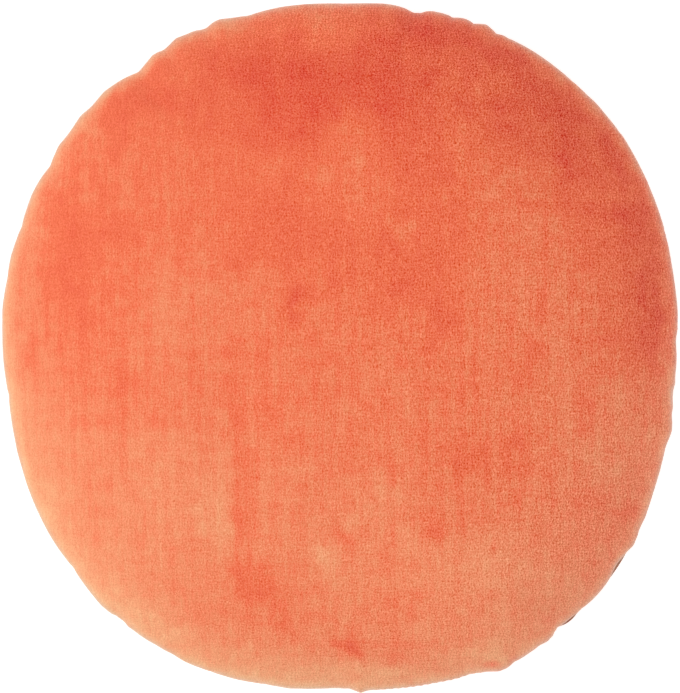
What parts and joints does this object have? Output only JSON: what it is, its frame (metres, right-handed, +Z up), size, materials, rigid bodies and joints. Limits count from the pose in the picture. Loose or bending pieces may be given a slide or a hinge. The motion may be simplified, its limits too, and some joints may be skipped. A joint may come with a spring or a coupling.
{
  "type": "round cushion",
  "caption": "Round scatter cushion in coral velvet, with a crowned face, a puckered knife-edge seam and a full soft filling.",
  "frame": {"origin": "middle of the underside, on the surface that the cushion rests on", "axes": "+Z up through the crown, +Y towards the top of the face, +X to its right"},
  "size_m": [0.5, 0.51, 0.1513],
  "materials": {
    "velvet": "coral cotton velvet, its short pile brushed in lighter and darker patches"
  },
  "bodies": {
    "root": {"cushion": "velvet"}
  },
  "joints": []
}
